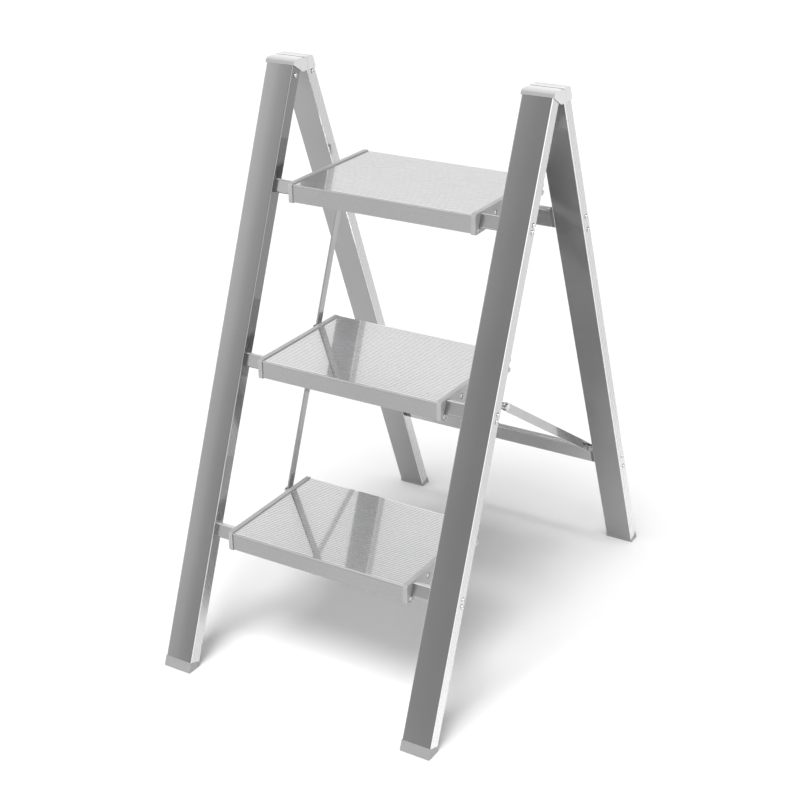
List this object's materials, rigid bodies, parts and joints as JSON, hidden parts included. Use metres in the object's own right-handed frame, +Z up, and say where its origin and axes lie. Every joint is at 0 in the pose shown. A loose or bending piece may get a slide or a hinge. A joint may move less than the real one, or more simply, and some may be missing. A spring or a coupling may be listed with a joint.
{
  "type": "folding step ladder",
  "caption": "Slim folding aluminium stepladder: ribbed treads hinged to a front frame, a rear prop frame, folding side links and braces, caps and wedge feet.",
  "frame": {"origin": "on the floor, midway between the front and rear feet and midway between the left and right sides, ladder standing open", "axes": "+X to the right of a person facing the steps, +Y from the steps towards the rear frame, +Z up"},
  "size_m": [0.5024, 0.7738, 0.9249],
  "materials": {
    "extrusion": "satin, fine drawn lines along the length",
    "deck": "bright satin, ribbed",
    "grey_plastic": "fine moulded grain",
    "dark_plastic": "fine moulded grain",
    "block": "machined, polished edges",
    "flat_bar": "polished flat bar",
    "fastener": "bright zinc"
  },
  "bodies": {
    "front_frame": {"front_cap_left": "grey_plastic", "front_cap_right": "grey_plastic", "front_cap_screws": "fastener", "front_foot_left": "grey_plastic", "front_foot_right": "grey_plastic", "front_stile_left": "extrusion", "front_stile_right": "extrusion", "hinge_block_bottom_left": "block", "hinge_block_bottom_right": "block", "hinge_block_middle_left": "block", "hinge_block_middle_right": "block", "hinge_block_screws": "fastener", "hinge_block_top_left": "block", "hinge_block_top_right": "block", "hinge_pins": "fastener", "tread_axle_bottom": "fastener", "tread_axle_middle": "fastener", "tread_axle_top": "fastener"},
    "rear_frame": {"brace_studs": "fastener", "crossbar_fitting_lower_left": "dark_plastic", "crossbar_fitting_lower_right": "dark_plastic", "crossbar_fitting_upper_left": "dark_plastic", "crossbar_fitting_upper_right": "dark_plastic", "crossbar_lower": "extrusion", "crossbar_screws": "fastener", "crossbar_upper": "extrusion", "rear_cap_left": "grey_plastic", "rear_cap_right": "grey_plastic", "rear_cap_screws": "fastener", "rear_foot_left": "grey_plastic", "rear_foot_right": "grey_plastic", "rear_stile_left": "extrusion", "rear_stile_right": "extrusion"},
    "tread_bottom": {"tread_deck_bottom": "deck", "tread_end_bottom_left": "grey_plastic", "tread_end_bottom_right": "grey_plastic", "tread_end_screws_bottom": "fastener", "link_studs_bottom": "fastener"},
    "tread_middle": {"tread_deck_middle": "deck", "tread_end_middle_left": "grey_plastic", "tread_end_middle_right": "grey_plastic", "tread_end_screws_middle": "fastener", "link_studs_middle": "fastener"},
    "tread_top": {"tread_deck_top": "deck", "tread_end_top_left": "grey_plastic", "tread_end_top_right": "grey_plastic", "tread_end_screws_top": "fastener", "link_studs_top": "fastener"},
    "link_left": {"link_left": "flat_bar", "brace_spacer_left": "fastener"},
    "brace_left": {"brace_left": "flat_bar", "brace_bolt_left": "fastener"},
    "link_right": {"link_right": "flat_bar", "brace_spacer_right": "fastener"},
    "brace_right": {"brace_right": "flat_bar", "brace_bolt_right": "fastener"}
  },
  "joints": [
    {"name": "rear_frame_fold", "type": "hinge", "parent": "front_frame", "child": "rear_frame", "pos_m": [0, 0.0008, 0.9124], "axis": [-1, 0, 0], "range_deg": [0, 42.8]},
    {"name": "tread_bottom_fold", "type": "hinge", "parent": "front_frame", "child": "tread_bottom", "pos_m": [0, -0.28485, 0.21808], "axis": [1, 0, 0], "range_deg": [0, 62.3]},
    {"name": "tread_middle_fold", "type": "hinge", "parent": "front_frame", "child": "tread_middle", "pos_m": [0, -0.18305, 0.47785], "axis": [1, 0, 0], "range_deg": [0, 62.3]},
    {"name": "tread_top_fold", "type": "hinge", "parent": "front_frame", "child": "tread_top", "pos_m": [0, -0.08125, 0.73761], "axis": [1, 0, 0], "range_deg": [0, 62.3]},
    {"name": "link_left_swing", "type": "hinge", "parent": "tread_middle", "child": "link_left", "pos_m": [-0.176, -0.01805, 0.47885], "axis": [-1, 0, 0], "range_deg": [0, 62.3]},
    {"name": "link_right_swing", "type": "hinge", "parent": "tread_middle", "child": "link_right", "pos_m": [0.176, -0.01805, 0.47885], "axis": [-1, 0, 0], "range_deg": [0, 62.3]},
    {"name": "brace_left_swing", "type": "hinge", "parent": "rear_frame", "child": "brace_left", "pos_m": [-0.189, 0.28558, 0.21622], "axis": [-1, 0, 0], "range_deg": [0, 34.57]},
    {"name": "brace_right_swing", "type": "hinge", "parent": "rear_frame", "child": "brace_right", "pos_m": [0.189, 0.28558, 0.21622], "axis": [-1, 0, 0], "range_deg": [0, 34.57]}
  ],
  "couplings": [
    {"joint": "tread_bottom_fold", "follows": "rear_frame_fold", "ratio": 1.4556},
    {"joint": "tread_middle_fold", "follows": "rear_frame_fold", "ratio": 1.4556},
    {"joint": "tread_top_fold", "follows": "rear_frame_fold", "ratio": 1.4556},
    {"joint": "link_left_swing", "follows": "rear_frame_fold", "ratio": 1.4556},
    {"joint": "link_right_swing", "follows": "rear_frame_fold", "ratio": 1.4556},
    {"joint": "brace_left_swing", "follows": "rear_frame_fold", "ratio": 0.80769},
    {"joint": "brace_right_swing", "follows": "rear_frame_fold", "ratio": 0.80769}
  ]
}
